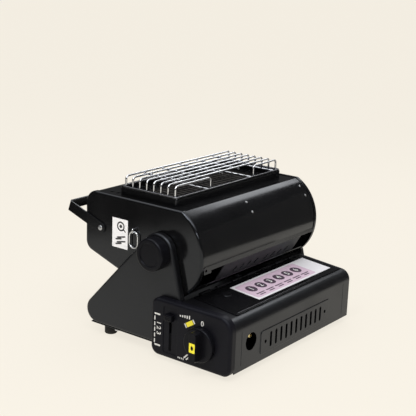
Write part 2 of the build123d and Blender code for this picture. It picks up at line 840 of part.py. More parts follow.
def make_top_plate():
    """Flat top with the burner mouth and two oblong holes behind the frame."""
    x0, x1 = skin_span()
    strip = skin_ring() & zone(kink_y(), head_back - head_crown_radius, flat_z - 3 * sheet, 2 * flat_z)
    plate = slab_x(strip, x0, x1)
    plate -= block(burner_left, burner_right, burner_front, burner_back, pivot_z, 2 * flat_z)
    slot = extrude(SlotOverall(plate_hole_length, plate_hole_width), amount=drum_radius)
    for index in range(2):
        y = frame_back + plate_hole_margin + index * plate_hole_pitch
        plate -= Pos(head_left + plate_hole_inset, y, pivot_z) * slot
    return plate


def make_back_cover():
    """Back and underside of the head, from the crown round the heel to the bottom of the drum."""
    ring = skin_ring()
    crown = head_back - head_crown_radius
    strip = ring & zone(crown, 2 * head_back, 0, 2 * flat_z)
    strip += ring & zone(pivot_y - vent_plate_foot, crown, 0, pivot_z)
    return slab_x(strip, *skin_span())


def make_vent_plate():
    """Sloping plate under the cover, with two groups of leaning slots."""
    foot_y, foot_z = cover_foot()
    top_y, top_z = foot_y + sheet, foot_z - lip_width
    low_y = pivot_y - vent_plate_foot
    low_z = pivot_z - math.sqrt((drum_radius - drum_skin - sheet) ** 2 - vent_plate_foot ** 2)
    length = math.hypot(low_y - top_y, low_z - top_z)
    along = Vector(0, (low_y - top_y) / length, (low_z - top_z) / length)
    plane = Plane(origin=(0, top_y, top_z), x_dir=(1, 0, 0), z_dir=Vector(1, 0, 0).cross(along))
    left, right = head_left + vent_plate_left_margin, head_right - vent_plate_right_margin
    plate = block(left, right, 0, length - seat_gap, 0, sheet)
    slot = SlotOverall(plate_slot_length, plate_slot_width, rotation=90 + plate_slot_lean)
    for start in plate_slot_shares:
        for index in range(plate_slots_in_group):
            x = left + (start + index * plate_slot_step) * (right - left)
            plate -= extrude(Pos(x, length * plate_slot_level, -sheet) * slot, amount=3 * sheet)
    return plane.location * plate


def make_burner_frame():
    """Folded rim round the burner with a flange that sits on the top plate."""
    high = plate_top + frame_height
    frame = block(frame_left, frame_right, frame_front, frame_back, plate_top, high)
    frame = fillet(frame.edges().filter_by(Axis.Z), frame_corner)
    wall = frame_sheet
    x0, x1, y0, y1 = frame_left + wall, frame_right - wall, frame_front + wall, frame_back - wall
    frame -= block(x0, x1, y0, y1, plate_top + wall, high + wall)
    return frame - block(burner_left, burner_right, burner_front, burner_back, plate_top - wall, high)


def guard_levels():
    """Heights of the guard rail's axis and of the hoops' top runs."""
    rail = plate_top + frame_height + guard_wire
    return rail, rail + guard_rise


def guard_ends():
    """Axes of the hoops' legs at the two ends, and of the first and last rows."""
    inset = guard_wire + guard_end_inset
    row_inset = guard_wire + guard_row_inset
    return frame_left + inset, frame_right - inset, frame_front + row_inset, frame_back - row_inset


def make_guard_rail():
    """Closed wire rectangle on top of the frame's rim."""
    width = frame_right - frame_left - 2 * guard_wire
    depth = frame_depth - 2 * guard_wire
    middle = Pos((frame_left + frame_right) / 2, (frame_front + frame_back) / 2, guard_levels()[0])
    wire = (middle * RectangleRounded(width, depth, guard_corner)).face().outer_wire()
    return sweep(Plane(origin=wire @ 0, z_dir=wire % 0) * Circle(guard_wire), path=wire)


def hoop(x0, x1, y):
    """Bent wire: two legs and a top run along X with round bends."""
    rail, top = guard_levels()
    low = rail - guard_wire
    points = [(x0, y, low), (x0, y, top), (x1, y, top), (x1, y, low)]
    path = FilletPolyline(*points, radius=guard_bend)
    return sweep(Plane(origin=points[0], z_dir=(0, 0, 1)) * Circle(guard_wire), path=path)


def make_guard_hoops():
    """Rows of hoops along the burner; the front row is parted into a short hoop at each end."""
    x0, x1, y_first, y_last = guard_ends()
    pitch = (y_last - y_first) / (guard_rows - 1)
    hoops = [hoop(x0, x0 + front_loop_left, y_first), hoop(x1 - front_loop_right, x1, y_first)]
    return hoops + [hoop(x0, x1, y_first + row * pitch) for row in range(1, guard_rows)]


def make_cross_wires():
    """Wires across the frame that carry the hoops' ends, and stays under their top runs."""
    x0, x1, y_first, y_last = guard_ends()
    rail, top = guard_levels()
    low = rail - 2 * guard_wire
    front, back = frame_front + frame_sheet, frame_back - frame_sheet
    pitch = (y_last - y_first) / (guard_rows - 1)
    carriers = (x0, x0 + front_loop_left, x1 - front_loop_right, x1)
    wires = [bar_y(x, low, guard_wire, front, back) for x in carriers]
    spacing = (x1 - x0) / (cross_wires + 1)
    stay_front, stay_back = y_first + pitch - guard_wire, y_last + guard_wire
    for index in range(cross_wires):
        x = x0 + (index + 1) * spacing
        wires.append(bar_y(x, top - 2 * guard_wire, guard_wire, stay_front, stay_back))
    return wires


def make_burner_box():
    """Pressed box under the top plate, flanged to it, with a gas port and the electrode's hole."""
    box = block(burner_left, burner_right, burner_front, burner_back, burner_floor, burner_top)
    box = fillet(box.edges().filter_by(Axis.Z), burner_corner)
    rim = burner_flange
    x0, x1, y0, y1 = burner_left - rim, burner_right + rim, burner_front - rim, burner_back + rim
    box += block(x0, x1, y0, y1, burner_top - sheet, burner_top)
    x0, x1, y0, y1 = burner_left + sheet, burner_right - sheet, burner_front + sheet, burner_back - sheet
    box -= block(x0, x1, y0, y1, burner_floor + sheet, burner_top + sheet)
    box -= bar_z(tube_x, tube_y, port_tube_radius, burner_floor - sheet, burner_top)
    return box - bar_z(electrode_x, electrode_y, insulator_radius, burner_floor - sheet, burner_top)


def make_gasket():
    """Fibre frame that seals the tiles in the box."""
    low = tile_low - gasket_thickness
    high = tile_low + gasket_thickness
    x0, x1, y0, y1 = burner_left + sheet, burner_right - sheet, burner_front + sheet, burner_back - sheet
    pad = block(x0, x1, y0, y1, low, tile_low)
    rim = gasket_rim
    spans = ((x0 + rim, electrode_x - tile_split), (electrode_x + tile_split, x1 - rim))
    for start, end in spans:
        pad -= block(start, end, y0 + rim, y1 - rim, low - gasket_thickness, high)
    return pad - bar_z(electrode_x, electrode_y, insulator_radius + running_fit, low - gasket_thickness, high)


def make_tile_shelf():
    """Rails along the box that the gasket and tiles lie on."""
    high = tile_low - gasket_thickness
    low = burner_floor + sheet
    x0, x1 = burner_left + shelf_margin, burner_right - shelf_margin
    front, back = burner_front + sheet, burner_back - sheet
    return [block(x0, x1, front, front + sheet, low, high), block(x0, x1, back - sheet, back, low, high)]


def make_tiles():
    """Two porous ceramic plates that glow."""
    margin = sheet + seat_gap
    y0, y1 = burner_front + margin, burner_back - margin
    half = tile_split / 2
    spans = ((burner_left + margin, electrode_x - half), (electrode_x + half, burner_right - margin))
    return [block(x0, x1, y0, y1, tile_low, burner_top) for x0, x1 in spans]


def make_screen():
    """Slotted sheet laid over the tiles."""
    low = burner_top
    x0, x1 = burner_left + seat_gap, burner_right - seat_gap
    y0, y1 = burner_front + seat_gap, burner_back - seat_gap
    screen = block(x0, x1, y0, y1, low, low + screen_sheet)
    pitch = (x1 - x0 - 2 * screen_rim) / screen_slots
    depth = (y1 - y0 - 2 * screen_rim) / screen_rows
    outline = RectangleRounded(pitch - screen_bar, depth - screen_bar, screen_slot_corner)
    slot = extrude(outline, amount=3 * sheet)
    corner = Pos(x0 + screen_rim, y0 + screen_rim, low - sheet)
    screen -= [
        corner * Pos((i + 0.5) * pitch, (j + 0.5) * depth, 0) * slot
        for i in range(screen_slots) for j in range(screen_rows)
    ]
    return screen - bar_z(electrode_x, electrode_y, insulator_radius, low - sheet, low + sheet)


def make_mixing_tube():
    """Air and gas tube under the burner box, with a standing port into it."""
    x0, x1 = tube_x - tube_length + port_tube_radius, tube_x + port_tube_radius + 2 * sheet
    tube = bar_x(tube_y, tube_z, tube_radius, x0, x1)
    tube += bar_z(tube_x, tube_y, port_tube_radius, tube_z, burner_floor + sheet)
    tube += bar_z(tube_x, tube_y, port_tube_radius + port_flange, burner_floor - sheet, burner_floor)
    tube -= bar_x(tube_y, tube_z, tube_radius - sheet, x0 - sheet, x1 - sheet)
    return tube - bar_z(tube_x, tube_y, port_tube_radius - sheet, tube_z, burner_floor + 2 * sheet)


def make_injector():
    """Brass jet in the mouth of the mixing tube, with a spigot for the gas hose."""
    mouth = tube_x - tube_length + port_tube_radius
    x0, x1 = mouth - injector_tail, mouth + injector_nose
    jet = bar_x(tube_y, tube_z, injector_radius, x0, x1)
    jet += bar_x(tube_y, tube_z, tube_radius, mouth - injector_disc, mouth)
    return jet - bar_x(tube_y, tube_z, injector_bore, x0 - sheet, x1 + sheet)


def make_insulator():
    """Ceramic sleeve of the electrode, through the box floor and the gasket."""
    x, y, r = electrode_x, electrode_y, insulator_radius
    low = burner_floor - insulator_tail
    sleeve = bar_z(x, y, r, low, burner_top - sheet)
    sleeve += bar_z(x, y, 1.6 * r, burner_floor - insulator_collar, burner_floor)
    return sleeve - bar_z(x, y, electrode_radius, low - sheet, flat_z)


def make_electrode():
    """Spark wire through the sleeve, its tip just above the screen."""
    low = burner_floor - electrode_tail
    return bar_z(electrode_x, electrode_y, electrode_radius, low, plate_top + electrode_tip)


def make_pivot_bolt():
    """Carriage bolt from inside the cap through the spacer, the leg and into the tilt knob."""
    inner = head_left + cap_sheet
    bolt = bar_x(pivot_y, pivot_z, pivot_radius, leg_left - tilt_knob_height / 2, inner)
    return bolt + bar_x(pivot_y, pivot_z, pivot_head_radius, inner, inner + pivot_head_height)


def make_spacer():
    """Friction spacer between the leg and the cap."""
    x0, x1 = leg_left + leg_sheet, head_left - seat_gap
    spacer = bar_x(pivot_y, pivot_z, spacer_radius, x0, x1)
    return spacer - bar_x(pivot_y, pivot_z, pivot_radius + running_fit, x0 - sheet, x1 + sheet)


def make_tilt_knob():
    """Clamping knob with a dished face and a blind bore for the bolt."""
    face, root = leg_left - tilt_knob_height, leg_left - slide_gap
    knob = bar_x(pivot_y, pivot_z, tilt_knob_radius, face, root)
    knob = fillet(knob.faces().sort_by(Axis.X)[0].edges(), tilt_knob_edge)
    rim = tilt_knob_radius - 2 * tilt_knob_edge
    knob -= Pos(face, pivot_y, pivot_z) * Rot(0, 90, 0) * Cone(rim, rim - tilt_knob_dish, 2 * tilt_knob_dish)
    bore_end = leg_left - tilt_knob_height / 2 - sheet
    return knob - bar_x(pivot_y, pivot_z, pivot_radius + running_fit, bore_end, root)


def handle_layers():
    """Outside faces of the handle's two arms along X."""
    return head_left - slide_gap - handle_sheet, head_right + slide_gap + handle_sheet


def make_handle():
    """Strap bail: two arms on screws and a crossbar behind the head, at its resting angle."""
    left, right = handle_layers()
    half = handle_width / 2
    bail = block(left, right, -half, handle_reach, -half, half)
    bail = fillet(bail.edges().filter_by(Axis.Z).sort_by(Axis.Y)[-2:], handle_bend)
    inner_left, inner_right = left + handle_sheet, right - handle_sheet
    window = block(inner_left, inner_right, -handle_width, handle_reach - handle_sheet, -half, half)
    bail -= fillet(window.edges().filter_by(Axis.Z).sort_by(Axis.Y)[-2:], handle_bend - handle_sheet)
    bail = fillet(bail.edges().filter_by(Axis.X).sort_by(Axis.Y)[:4], half - running_fit)
    bail -= bar_x(0, 0, screw_radius + running_fit, left - sheet, right + sheet)
    return Pos(0, handle_y, handle_z) * Rot(handle_rest, 0, 0) * bail


def make_handle_screw():
    """Round-head screw through the handle's arm into the cap."""
    under_head = handle_layers()[0] - seat_gap
    shank = bar_x(handle_y, handle_z, screw_radius, under_head, head_left + cap_sheet + screw_tail)
    head = bar_x(handle_y, handle_z, screw_head_radius, under_head - screw_head_height, under_head)
    return shank + fillet(head.faces().sort_by(Axis.X)[0].edges(), 0.6 * screw_head_height)


def make_ring_eye():
    """Wire staple on the cap that the ring hangs in."""
    low = ring_z - ring_wire - eye_wire - running_fit
    high, tip = low + eye_height, head_left - eye_reach
    points = [(head_left, ring_y, low), (tip, ring_y, low), (tip, ring_y, high), (head_left, ring_y, high)]
    path = FilletPolyline(*points, radius=eye_bend)
    return sweep(Plane(origin=points[0], z_dir=(-1, 0, 0)) * Circle(eye_wire), path=path)


def make_ring():
    """Long wire ring that hangs from the eye."""
    width, height = ring_width - 2 * ring_wire, ring_height - 2 * ring_wire
    plane = Plane(origin=(ring_x, ring_y, ring_z - height / 2), x_dir=(0, 1, 0), z_dir=(1, 0, 0))
    wire = (plane * SlotOverall(height, width, rotation=90)).face().outer_wire()
    return sweep(Plane(origin=wire @ 0, z_dir=wire % 0) * Circle(ring_wire), path=wire)


def make_cap_label():
    """Printed sticker on the near cap."""
    front, low = pivot_y + cap_label_setback, pivot_z - cap_label_drop
    back, high = front + cap_label_width, low + cap_label_height
    return block(head_left - label_thickness, head_left, front, back, low, high)


def rivet_frames():
    """Places on the drum's outside, each with Z pointing out of the surface."""
    radius = drum_radius - drum_skin
    frames = []
    for share, angle in zip(rivet_shares, rivet_angles):
        x = head_left + share * (head_right - head_left)
        frames.append(Pos(x, pivot_y, pivot_z) * Rot(90 - angle, 0, 0) * Pos(0, 0, radius))
    return frames


def make_rivets():
    """Rivets through the drum cover, with domed heads that fit its curve."""
    drum = bar_x(pivot_y, pivot_z, drum_radius - drum_skin, head_left, head_right)
    rivets = []
    for place in rivet_frames():
        head = Pos(0, 0, rivet_head / 2) * Cylinder(rivet_radius, rivet_head)
        head = fillet(head.edges().sort_by(Axis.Z)[-1:], rivet_edge)
        head += Pos(0, 0, -rivet_head / 4) * Cylinder(rivet_radius, rivet_head / 2)
        rivets.append(place * head - drum + place * Pos(0, 0, -sheet / 2) * Cylinder(rivet_shank, 2 * sheet))
    return rivets


nodes = {
    "base_pan": make_base_pan(),
    "front_shell": make_front_shell(),
    "left_leg_bracket": make_left_leg(),
    "right_leg_bracket": mirrored(make_left_leg()),
    "rear_deck": make_rear_deck(),
    "control_panel": make_control_panel(),
    "lever_guide": make_lever_guide(),
    "front_feet": [make_foot(x, front_foot_y, pan_height) for x in front_feet_x()],
    "rear_feet": [make_foot(x, rear_foot_y, deck_height - sheet) for x in rear_feet_x()],
    "front_foot_screws": [make_foot_screw(x, front_foot_y, pan_height) for x in front_feet_x()],
    "rear_foot_screws": [make_foot_screw(x, rear_foot_y, deck_height - sheet) for x in rear_feet_x()],
    "leg_screws": make_leg_screws(),
    "valve_bracket": make_valve_bracket(),
    "valve_body": make_valve_body(),
    "cartridge_collar": make_collar(),
    "gas_outlet_spigot": make_spigot(),
    "spark_igniter": make_igniter(),
    "cartridge_saddles": make_saddles(),
    "lid_hinge_pin": make_hinge_pin(),
    "left_pivot_spacer": make_spacer(),
    "right_pivot_spacer": mirrored(make_spacer()),
    "cartridge_lid": make_lid(),
    "lid_label": make_lid_label(),
    "gas_knob": make_gas_knob(),
    "gas_knob_marker": make_knob_marker(),
    "valve_stem": make_valve_stem(),
    "cartridge_lever": make_lever(),
    "draw_hook": make_draw_hook(),
    "left_tilt_knob": make_tilt_knob(),
    "right_tilt_knob": mirrored(make_tilt_knob()),
    "left_end_cap": make_left_cap(),
    "right_end_cap": mirrored(make_left_cap()),
    "drum_cover": make_drum_cover(),
    "cover_rivets": make_rivets(),
    "top_plate": make_top_plate(),
    "back_cover": make_back_cover(),
    "vent_plate": make_vent_plate(),
    "burner_frame": make_burner_frame(),
    "guard_rail": make_guard_rail(),
    "guard_hoops": make_guard_hoops(),
    "guard_cross_wires": make_cross_wires(),
    "burner_box": make_burner_box(),
    "tile_shelf": make_tile_shelf(),
    "tile_gasket": make_gasket(),
    "ceramic_tiles": make_tiles(),
    "burner_screen": make_screen(),
    "mixing_tube": make_mixing_tube(),
    "gas_injector": make_injector(),
    "electrode_insulator": make_insulator(),
    "spark_electrode": make_electrode(),
    "left_pivot_bolt": make_pivot_bolt(),
    "right_pivot_bolt": mirrored(make_pivot_bolt()),
    "cap_label": make_cap_label(),
    "ring_eye": make_ring_eye(),
    "carry_handle": make_handle(),
    "left_handle_screw": make_handle_screw(),
    "right_handle_screw": mirrored(make_handle_screw()),
    "hanging_ring": make_ring(),
}

# The frame's origin is under the middle of the whole stove, on the table
solids = {name: piece if isinstance(piece, list) else [piece] for name, piece in nodes.items()}
boxes = [solid.bounding_box() for group in solids.values() for solid in group]
middle_x = (min(box.min.X for box in boxes) + max(box.max.X for box in boxes)) / 2
middle_y = (min(box.min.Y for box in boxes) + max(box.max.Y for box in boxes)) / 2

os.makedirs("parts", exist_ok=True)
for name, group in solids.items():
    placed = [Pos(-middle_x, -middle_y, 0) * solid for solid in group]
    export_step(placed[0] if len(placed) == 1 else Compound(children=placed), f"parts/{name}.step")
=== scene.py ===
import bmesh
import bpy
import numpy as np
from mathutils import Matrix, Vector


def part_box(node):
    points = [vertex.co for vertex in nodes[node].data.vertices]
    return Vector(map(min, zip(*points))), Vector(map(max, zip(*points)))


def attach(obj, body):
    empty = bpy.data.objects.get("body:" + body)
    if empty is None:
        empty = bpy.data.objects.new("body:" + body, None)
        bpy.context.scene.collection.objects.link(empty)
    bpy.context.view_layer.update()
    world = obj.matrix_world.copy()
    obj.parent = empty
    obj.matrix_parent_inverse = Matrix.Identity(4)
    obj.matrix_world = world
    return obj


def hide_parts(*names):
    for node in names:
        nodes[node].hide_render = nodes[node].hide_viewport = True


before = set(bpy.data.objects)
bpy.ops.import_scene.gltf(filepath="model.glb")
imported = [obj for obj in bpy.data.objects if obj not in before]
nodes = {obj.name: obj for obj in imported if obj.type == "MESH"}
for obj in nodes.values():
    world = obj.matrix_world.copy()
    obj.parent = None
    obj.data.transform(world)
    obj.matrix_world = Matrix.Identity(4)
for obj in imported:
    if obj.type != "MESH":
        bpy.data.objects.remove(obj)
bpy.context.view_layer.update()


# Base pan, rear deck and leg brackets: pressed mild steel, 1.2 to 1.5 mm thick, screwed from below.
# They are sprayed with black enamel and baked, which leaves a soft gloss with a faint orange peel,
# slightly cloudy where the spray ran thin.
mm = 0.001


def linear(hex_colour):
    """Linear RGBA of an sRGB hex colour: each channel is taken back through the sRGB curve."""
    srgb = np.array([int(hex_colour[i:i + 2], 16) for i in (1, 3, 5)]) / 255
    rgb = np.where(srgb <= 0.04045, srgb / 12.92, ((srgb + 0.055) / 1.055) ** 2.4)
    return (*rgb.tolist(), 1.0)


def add_node(owner, kind, settings):
    """Adds a shader node. A lower-case key sets a property, and any other key or a number names an input,
    which takes a plain value or a link from a node's first output or from a given socket."""
    node = owner.node_tree.nodes.new(kind)
    for key, value in settings.items():
        if isinstance(key, str) and key.islower():
            setattr(node, key, value)
            continue
        source = value.outputs[0] if isinstance(value, bpy.types.Node) else value
        if isinstance(source, bpy.types.NodeSocket):
            owner.node_tree.links.new(source, node.inputs[key])
        else:
            node.inputs[key].default_value = source
    return node


def new_material(name):
    """A node material with an empty tree."""
    material = bpy.data.materials.new(name)
    material.use_nodes = True
    material.node_tree.nodes.clear()
    return material


def dress(material, *names):
    """Puts a finish on CAD nodes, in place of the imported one."""
    for name in names:
        nodes[name].material_slots[0].material = material


def sprayed_enamel(name, deep, thin, smooth, dull, shine=0.5):
    """Baked enamel: the colour and the roughness drift with a 60 mm cloud, and a 2.4 mm orange peel bends
    the reflections, which lean to blue. Pressed edges are rounded by the paint, about 0.5 mm. Shine is the
    level of the reflections, 0.5 on a clean coat."""
    paint = new_material(name)
    place = add_node(paint, "ShaderNodeTexCoord", {}).outputs["Object"]
    cloud = add_node(paint, "ShaderNodeTexNoise", {"Vector": place, "Scale": 1 / (60 * mm), "Detail": 4.0})
    tone = add_node(paint, "ShaderNodeMix", {"data_type": "RGBA", "Factor": cloud, 6: deep, 7: thin})
    gloss = add_node(paint, "ShaderNodeMapRange", {
        "Value": cloud, "From Min": 0.3, "From Max": 0.7, "To Min": smooth, "To Max": dull,
    })
    peel = add_node(paint, "ShaderNodeTexNoise", {"Vector": place, "Scale": 1 / (2.4 * mm), "Detail": 1.0})
    edge = add_node(paint, "ShaderNodeBevel", {"samples": 4, "Radius": 0.5 * mm})
    bump = add_node(paint, "ShaderNodeBump", {
        "Height": peel, "Strength": 0.2, "Distance": 0.03 * mm, "Normal": edge,
    })
    shader = add_node(paint, "ShaderNodeBsdfPrincipled", {
        "Base Color": tone.outputs[2], "Roughness": gloss, "Normal": bump, "IOR": 1.45,
        "Specular IOR Level": shine, "Specular Tint": (0.82, 0.89, 1.0, 1.0),
    })
    add_node(paint, "ShaderNodeOutputMaterial", {"Surface": shader})
    return paint


enamel = sprayed_enamel("baked_black_enamel", linear("#0B0B0D"), linear("#121214"), 0.28, 0.38)
dress(enamel, "base_pan", "rear_deck", "left_leg_bracket", "right_leg_bracket")


# Feet: four moulded rubber buttons, each held by a pan-head screw from below.
# Black rubber is dull, slightly grainy and grey with dust towards the sole.
rubber = new_material("moulded_black_rubber")
place = add_node(rubber, "ShaderNodeTexCoord", {}).outputs["Object"]
height = add_node(rubber, "ShaderNodeSeparateXYZ", {"Vector": place}).outputs["Z"]
sole = add_node(rubber, "ShaderNodeMapRange", {
    "Value": height, "From Min": 0.0, "From Max": 5 * mm, "To Min": 0.7, "To Max": 0.0,
})
tone = add_node(rubber, "ShaderNodeMix", {
    "data_type": "RGBA", "Factor": sole, 6: linear("#191919"), 7: linear("#3A3733"),
})
grain = add_node(rubber, "ShaderNodeTexNoise", {"Vector": place, "Scale": 1 / (0.9 * mm), "Detail": 2.0})
bump = add_node(rubber, "ShaderNodeBump", {"Height": grain, "Strength": 0.5, "Distance": 0.1 * mm})
shader = add_node(rubber, "ShaderNodeBsdfPrincipled", {
    "Base Color": tone.outputs[2], "Roughness": 0.8, "Normal": bump, "IOR": 1.52,
})
add_node(rubber, "ShaderNodeOutputMaterial", {"Surface": shader})
dress(rubber, "front_feet", "rear_feet")


# Screws, bolts, rivets and the small steel parts of the bay and burner: steel with a bright zinc plating.
# The plating is a soft mirror, faintly mottled, with fine marks from the tumbling barrel.
zinc = new_material("bright_zinc_plated_steel")
place = add_node(zinc, "ShaderNodeTexCoord", {}).outputs["Object"]
mottle = add_node(zinc, "ShaderNodeTexNoise", {"Vector": place, "Scale": 1 / (5 * mm), "Detail": 3.0})
tone = add_node(zinc, "ShaderNodeMix", {
    "data_type": "RGBA", "Factor": mottle, 6: linear("#C9CACC"), 7: linear("#AEB1B6"),
})
gloss = add_node(zinc, "ShaderNodeMapRange", {"Value": mottle, "To Min": 0.2, "To Max": 0.42})
marks = add_node(zinc, "ShaderNodeTexNoise", {"Vector": place, "Scale": 1 / (0.5 * mm), "Detail": 2.0})
edge = add_node(zinc, "ShaderNodeBevel", {"samples": 4, "Radius": 0.25 * mm})
bump = add_node(zinc, "ShaderNodeBump", {
    "Height": marks, "Strength": 0.15, "Distance": 0.02 * mm, "Normal": edge,
})
shader = add_node(zinc, "ShaderNodeBsdfPrincipled", {
    "Base Color": tone.outputs[2], "Metallic": 1.0, "Roughness": gloss, "Normal": bump,
})
add_node(zinc, "ShaderNodeOutputMaterial", {"Surface": shader})
dress(
    zinc, "front_foot_screws", "rear_foot_screws", "leg_screws", "cover_rivets", "left_pivot_bolt",
    "right_pivot_bolt", "valve_bracket", "valve_stem", "draw_hook", "mixing_tube", "spark_electrode",
    "cartridge_saddles",
)


# Front shell and cartridge lid: pressed steel, with the lid hung on a wire hinge behind.
# Shell and wire have the same enamel as the base, so the wire doesn't shine. The lid is sprayed lying flat,
# where the coat levels out, so it is glossier.
dress(enamel, "front_shell", "lid_hinge_pin")
lid_enamel = sprayed_enamel("gloss_black_enamel", linear("#09090A"), linear("#0F0F11"), 0.12, 0.2)
dress(lid_enamel, "cartridge_lid")


# Lid label: white vinyl stuck along the lid, printed with a lilac field and a row of numbered dots.
# Calendered vinyl is glossy and lightly waved by what lies under it.
def glossy_vinyl(name, wave_light, wave_shade):
    """Label vinyl: two near tones tied to its 14 mm waves, painted light and shade on them, darker where a
    wave stands higher; the waves also bend the reflections.
    """
    film = new_material(name)
    place = add_node(film, "ShaderNodeTexCoord", {}).outputs["Object"]
    wave = add_node(film, "ShaderNodeTexNoise", {"Vector": place, "Scale": 1 / (14 * mm), "Detail": 2.0})
    tone = add_node(film, "ShaderNodeMix", {"data_type": "RGBA", "Factor": wave, 6: wave_light, 7: wave_shade})
    bump = add_node(film, "ShaderNodeBump", {"Height": wave, "Strength": 0.3, "Distance": 0.1 * mm})
    shader = add_node(film, "ShaderNodeBsdfPrincipled", {
        "Base Color": tone.outputs[2], "Roughness": 0.32, "Normal": bump, "IOR": 1.53,
    })
    add_node(film, "ShaderNodeOutputMaterial", {"Surface": shader})
    return film


dress(glossy_vinyl("white_vinyl", linear("#E6E5E8"), linear("#DAD8DC")), "lid_label")


def mottled_coat(name, full, worn):
    """A thin even coat, such as screen ink or glaze: a full colour that thins to a worn tone in 1.5 mm
    patches, a little duller than vinyl."""
    ink = new_material(name)
    spot = add_node(ink, "ShaderNodeTexCoord", {}).outputs["Object"]
    patch = add_node(ink, "ShaderNodeTexNoise", {"Vector": spot, "Scale": 1 / (1.5 * mm), "Detail": 2.0})
    colour = add_node(ink, "ShaderNodeMix", {"data_type": "RGBA", "Factor": patch, 6: full, 7: worn})
    surface = add_node(ink, "ShaderNodeBsdfPrincipled", {
        "Base Color": colour.outputs[2], "Roughness": 0.4, "IOR": 1.5,
    })
    add_node(ink, "ShaderNodeOutputMaterial", {"Surface": surface})
    return ink


def raised_plates(marks, profile):
    """Closed plates in local coordinates (across, along, lift), one for each mark. A mark gives its middle,
    half width, half height, turn in degrees and power: its rim is a superellipse, an ellipse at power 2 and
    a rectangle with soft corners at power 8. The profile's (share of the rim, lift) pairs carry the rim
    from the middle of the top, over the edge, to the middle of the underside."""
    across, along, wide, high, turn, power = np.array(marks, float).T[:, :, None, None]
    share, lift = np.array(profile, float).T[:, None, :, None]
    angle = np.linspace(0, 2 * np.pi, 40, endpoint=False)
    x = share * wide * np.sign(np.cos(angle)) * np.abs(np.cos(angle)) ** (2 / power)
    y = share * high * np.sign(np.sin(angle)) * np.abs(np.sin(angle)) ** (2 / power)
    turn = np.radians(turn)
    return np.stack(np.broadcast_arrays(
        across + x * np.cos(turn) - y * np.sin(turn), along + x * np.sin(turn) + y * np.cos(turn), lift,
    ), -1)


def grid_object(name, grids, material):
    """A mesh through grids of points, in metres: quads join each point to the next row and column, the
    columns close round, and rows that shrink to a point are merged there."""
    count, rows, columns = grids.shape[:3]
    grid, row, column = np.meshgrid(
        np.arange(count), np.arange(rows - 1), np.arange(columns), indexing="ij"
    )
    near = (grid * rows + row) * columns
    after = (column + 1) % columns
    quads = np.stack([near + column, near + after, near + columns + after, near + columns + column], -1)
    mesh = bpy.data.meshes.new(name)
    mesh.from_pydata(grids.reshape(-1, 3), [], quads.reshape(-1, 4))
    work = bmesh.new()
    work.from_mesh(mesh)
    bmesh.ops.remove_doubles(work, verts=work.verts, dist=0.001 * mm)
    bmesh.ops.recalc_face_normals(work, faces=work.faces)
    work.to_mesh(mesh)
    work.free()
    mesh.materials.append(material)
    made = bpy.data.objects.new(name, mesh)
    bpy.context.scene.collection.objects.link(made)
    return made


def add_piece(name, grids, material, body):
    """A grid object that moves with a body and takes its finish from a slot."""
    piece = grid_object(name, grids, material)
    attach(piece, body)
    return piece


def on_plane(local, origin, across, along):
    """Local millimetres set on a flat face: its origin, its two directions and the normal between them."""
    across, along = Vector(across).normalized(), Vector(along).normalized()
    axes = np.array([across, along, across.cross(along)])
    return np.array(origin) + local @ axes * mm


def add_figures(name, figures, height, turn, origin, across, along, material, body):
    """Plain upright numbers from the built-in type, each centred at its place on a face. The type's size is
    1.4 times the height of a figure, and the strokes are widened by a small share of that height."""
    half_thickness = 0.04 * mm
    axes = Matrix((across, along, Vector(across).cross(Vector(along)))).transposed().to_4x4()
    work = bmesh.new()
    for figure, x, y in figures:
        curve = bpy.data.curves.new(name, "FONT")
        curve.body = str(figure)
        curve.size = 1.4 * height * mm
        curve.extrude = half_thickness
        curve.offset = 0.018 * height * mm
        curve.resolution_u = 4
        curve.align_x = "CENTER"
        curve.align_y = "CENTER"
        typed = bpy.data.objects.new(name, curve)
        bpy.context.scene.collection.objects.link(typed)
        mesh = bpy.data.meshes.new_from_object(typed.evaluated_get(bpy.context.evaluated_depsgraph_get()))
        spot = Matrix.Translation((x * mm, y * mm, half_thickness))
        spot = spot @ Matrix.Rotation(np.radians(turn), 4, "Z")
        mesh.transform(Matrix.Translation(origin) @ axes @ spot)
        work.from_mesh(mesh)
        bpy.data.objects.remove(typed)
        bpy.data.meshes.remove(mesh)
    mesh = bpy.data.meshes.new(name)
    bmesh.ops.remove_doubles(work, verts=work.verts, dist=0.001 * mm)
    work.to_mesh(mesh)
    work.free()
    mesh.materials.clear()
    mesh.materials.append(material)
    piece = bpy.data.objects.new(name, mesh)
    bpy.context.scene.collection.objects.link(piece)
    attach(piece, body)
    return piece


# The print is set out in millimetres from the label's middle, along the lid and up its slope.
lid_slope = np.radians(5.0)
label_thickness = 0.3
label_low, label_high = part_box("lid_label")
label_across = (1.0, 0.0, 0.0)
label_along = (0.0, np.cos(lid_slope), np.sin(lid_slope))
label_length = (label_high.x - label_low.x) / mm
label_depth = (label_high.y - label_low.y) / mm / np.cos(lid_slope)
label_middle = (label_low + label_high) / 2 + Vector((0, 0, label_thickness / 2 * mm))
lilac_ink = mottled_coat("lilac_screen_ink", linear("#C9AFC2"), linear("#D1BDCC"))
thin_print = [(0, 0.06), (1, 0.06), (1, -0.02), (0, -0.02)]
field_margin = 4.0
field_length = 0.8 * label_length
field_depth = label_depth - 2 * field_margin
field_middle = -label_length / 2 + field_margin + field_length / 2
field = raised_plates([(field_middle, 0, field_length / 2, field_depth / 2, 0, 24)], thin_print)
add_piece(
    "lid_label_field", on_plane(field, label_middle, label_across, label_along), lilac_ink, "lid",
)
plum_ink = mottled_coat("plum_screen_ink", linear("#3B2E3C"), linear("#5A4A5A"))
print_height = 0.12
thick_print = [(0, print_height), (1, print_height), (1, 0.0), (0, 0.0)]
step_count = 6
step_pitch = field_length / (step_count + 0.6)
step_places = field_middle + (np.arange(step_count) - (step_count - 1) / 2) * step_pitch
dot_radius = 9.5
dot_along = 4.0
dots = [(x, dot_along, dot_radius, dot_radius, 0, 2) for x in step_places]
line_along = -12.5
line_pitch = 4.5
